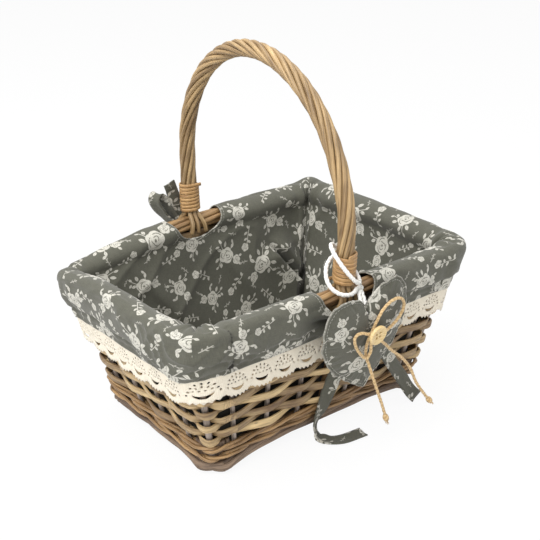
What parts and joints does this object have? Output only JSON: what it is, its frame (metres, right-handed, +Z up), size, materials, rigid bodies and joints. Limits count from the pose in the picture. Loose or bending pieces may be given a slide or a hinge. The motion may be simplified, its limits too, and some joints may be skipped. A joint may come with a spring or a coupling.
{
  "type": "picnic_basket",
  "caption": "Open willow basket with a roped hoop handle, a tied floral cotton liner edged with lace, and a padded heart charm hung on a cord",
  "frame": {"origin": "middle of the underside of the woven base, on the floor", "axes": "Z up; X along the long side of the basket; Y across it, in the plane of the handle, with the heart on the -Y side"},
  "size_m": [0.3398, 0.2994, 0.3537],
  "materials": {
    "foot_willow": "weathered grey-brown willow",
    "stake_willow": "greyed peeled willow",
    "weave_willow": "split tan willow, satin",
    "wale_willow": "orange-brown willow, satin",
    "handle_willow": "honey-coloured willow, satin",
    "binding_cane": "flat split cane, satin",
    "button_wood": "pale turned wood, satin",
    "liner_cloth": "grey-green cotton with a pale floral print",
    "lace_cotton": "cream cotton lace",
    "cord_cotton": "white cotton cord",
    "twine_raffia": "straw-coloured raffia twine"
  },
  "bodies": {
    "basket": {"back_foot_rail_and_stakes": "foot_willow", "back_tie_bow": "liner_cloth", "back_tie_lower_tail": "liner_cloth", "back_tie_upper_tail": "liner_cloth", "base_stick_1": "foot_willow", "base_stick_2": "foot_willow", "base_stick_3": "foot_willow", "base_stick_4": "foot_willow", "base_stick_5": "foot_willow", "base_strip": "weave_willow", "cord_loop": "cord_cotton", "corner_post_back_left": "stake_willow", "corner_post_front_right": "stake_willow", "corner_post_left_front": "stake_willow", "corner_post_right_back": "stake_willow", "front_foot_rail_and_stakes": "foot_willow", "front_tie_knot": "liner_cloth", "front_tie_left_tail": "liner_cloth", "front_tie_right_tail": "liner_cloth", "handle_binding_back": "binding_cane", "handle_binding_front": "binding_cane", "handle_core": "handle_willow", "handle_rod_1": "handle_willow", "handle_rod_2": "handle_willow", "handle_rod_3": "handle_willow", "handle_rod_4": "handle_willow", "handle_rod_5": "handle_willow", "handle_rod_6": "handle_willow", "handle_rod_7": "handle_willow", "handle_rod_8": "handle_willow", "lace_left": "lace_cotton", "lace_right": "lace_cotton", "left_foot_rail_and_stakes": "foot_willow", "liner_back_panel": "liner_cloth", "liner_floor": "liner_cloth", "liner_front_panel": "liner_cloth", "liner_left_panel": "liner_cloth", "liner_right_panel": "liner_cloth", "right_foot_rail_and_stakes": "foot_willow", "rim_border": "weave_willow", "wale_rod_1": "wale_willow", "wale_rod_2": "wale_willow", "weave_row_1": "weave_willow", "weave_row_10": "weave_willow", "weave_row_11": "weave_willow", "weave_row_12": "weave_willow", "weave_row_13": "weave_willow", "weave_row_2": "weave_willow", "weave_row_3": "weave_willow", "weave_row_4": "weave_willow", "weave_row_5": "weave_willow", "weave_row_6": "weave_willow", "weave_row_7": "weave_willow", "weave_row_8": "weave_willow", "weave_row_9": "weave_willow"},
    "knot": {"cord_knot": "cord_cotton"},
    "charm": {"hanging_cord": "cord_cotton", "heart_pad": "liner_cloth", "heart_button": "button_wood", "twine_bow": "twine_raffia"}
  },
  "joints": [
    {"name": "charm_sway", "type": "hinge", "parent": "basket", "child": "knot", "pos_m": [0.00919, -0.12619, 0.158], "axis": [0, 1, 0], "range_deg": [-12, 12]},
    {"name": "charm_lift", "type": "hinge", "parent": "knot", "child": "charm", "pos_m": [0.00919, -0.12619, 0.158], "axis": [-1, 0, 0], "range_deg": [0, 30]}
  ]
}
